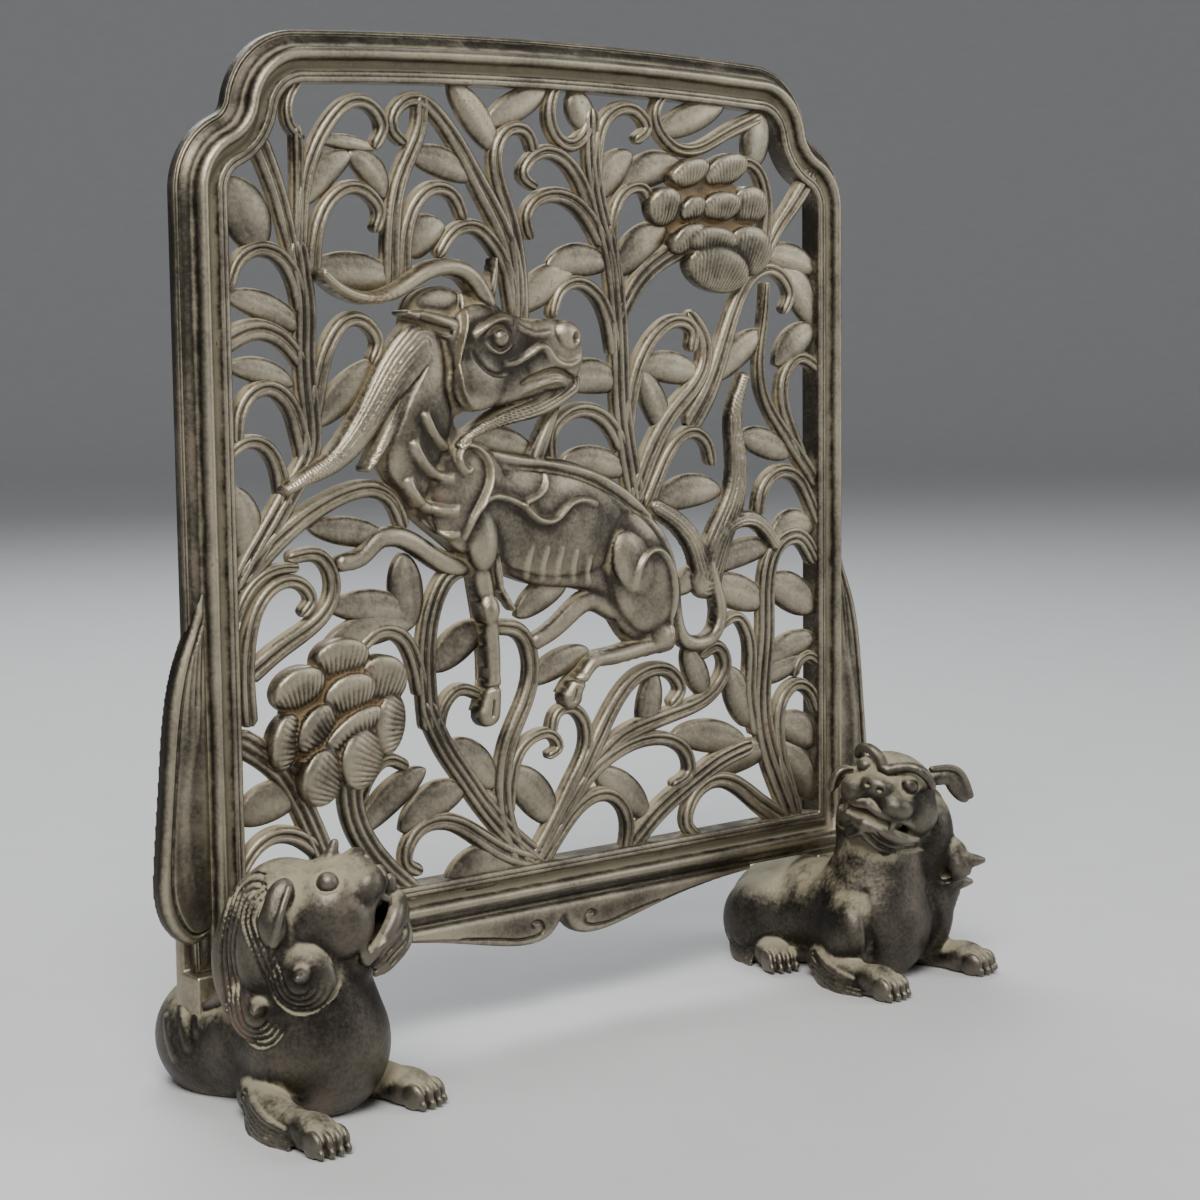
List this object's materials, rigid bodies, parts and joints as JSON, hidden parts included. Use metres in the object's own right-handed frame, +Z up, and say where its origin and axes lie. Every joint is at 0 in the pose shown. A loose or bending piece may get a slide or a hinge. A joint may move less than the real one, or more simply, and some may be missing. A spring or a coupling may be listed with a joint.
{
  "type": "desk screen",
  "caption": "Small free-standing bronze desk screen: moulded frame round a pierced lotus-scroll panel with a horned beast, side wings and apron, standing on crouching lions.",
  "frame": {"origin": "on the ground under the middle of the whole object", "axes": "+Z up, -Y towards the front of the screen, +X to the right as seen from the front"},
  "size_m": [0.2083, 0.078, 0.2237],
  "materials": {
    "frame_bronze": "dark cast bronze with worn edges",
    "scroll_bronze": "dark cast bronze with ochre dust in the recesses",
    "beast_bronze": "dark cast bronze, rubbed smooth",
    "blossom_bronze": "dark cast bronze with ochre between the petals",
    "lion_bronze": "dark cast bronze, rubbed bright on the high places"
  },
  "bodies": {
    "screen": {"frame": "frame_bronze", "scroll_panel": "scroll_bronze", "beast": "beast_bronze", "blossom_lower": "blossom_bronze", "blossom_upper": "blossom_bronze", "wing_left": "frame_bronze", "wing_right": "frame_bronze", "apron": "frame_bronze"},
    "left_foot": {"lion_left": "lion_bronze", "rest_left": "frame_bronze"},
    "right_foot": {"lion_right": "lion_bronze", "rest_right": "frame_bronze"}
  },
  "joints": [
    {"name": "left_foot_slide", "type": "slide", "parent": "screen", "child": "left_foot", "axis": [0, 0, -1], "range_m": [0, 0.045]},
    {"name": "right_foot_slide", "type": "slide", "parent": "screen", "child": "right_foot", "axis": [0, 0, -1], "range_m": [0, 0.045]}
  ]
}
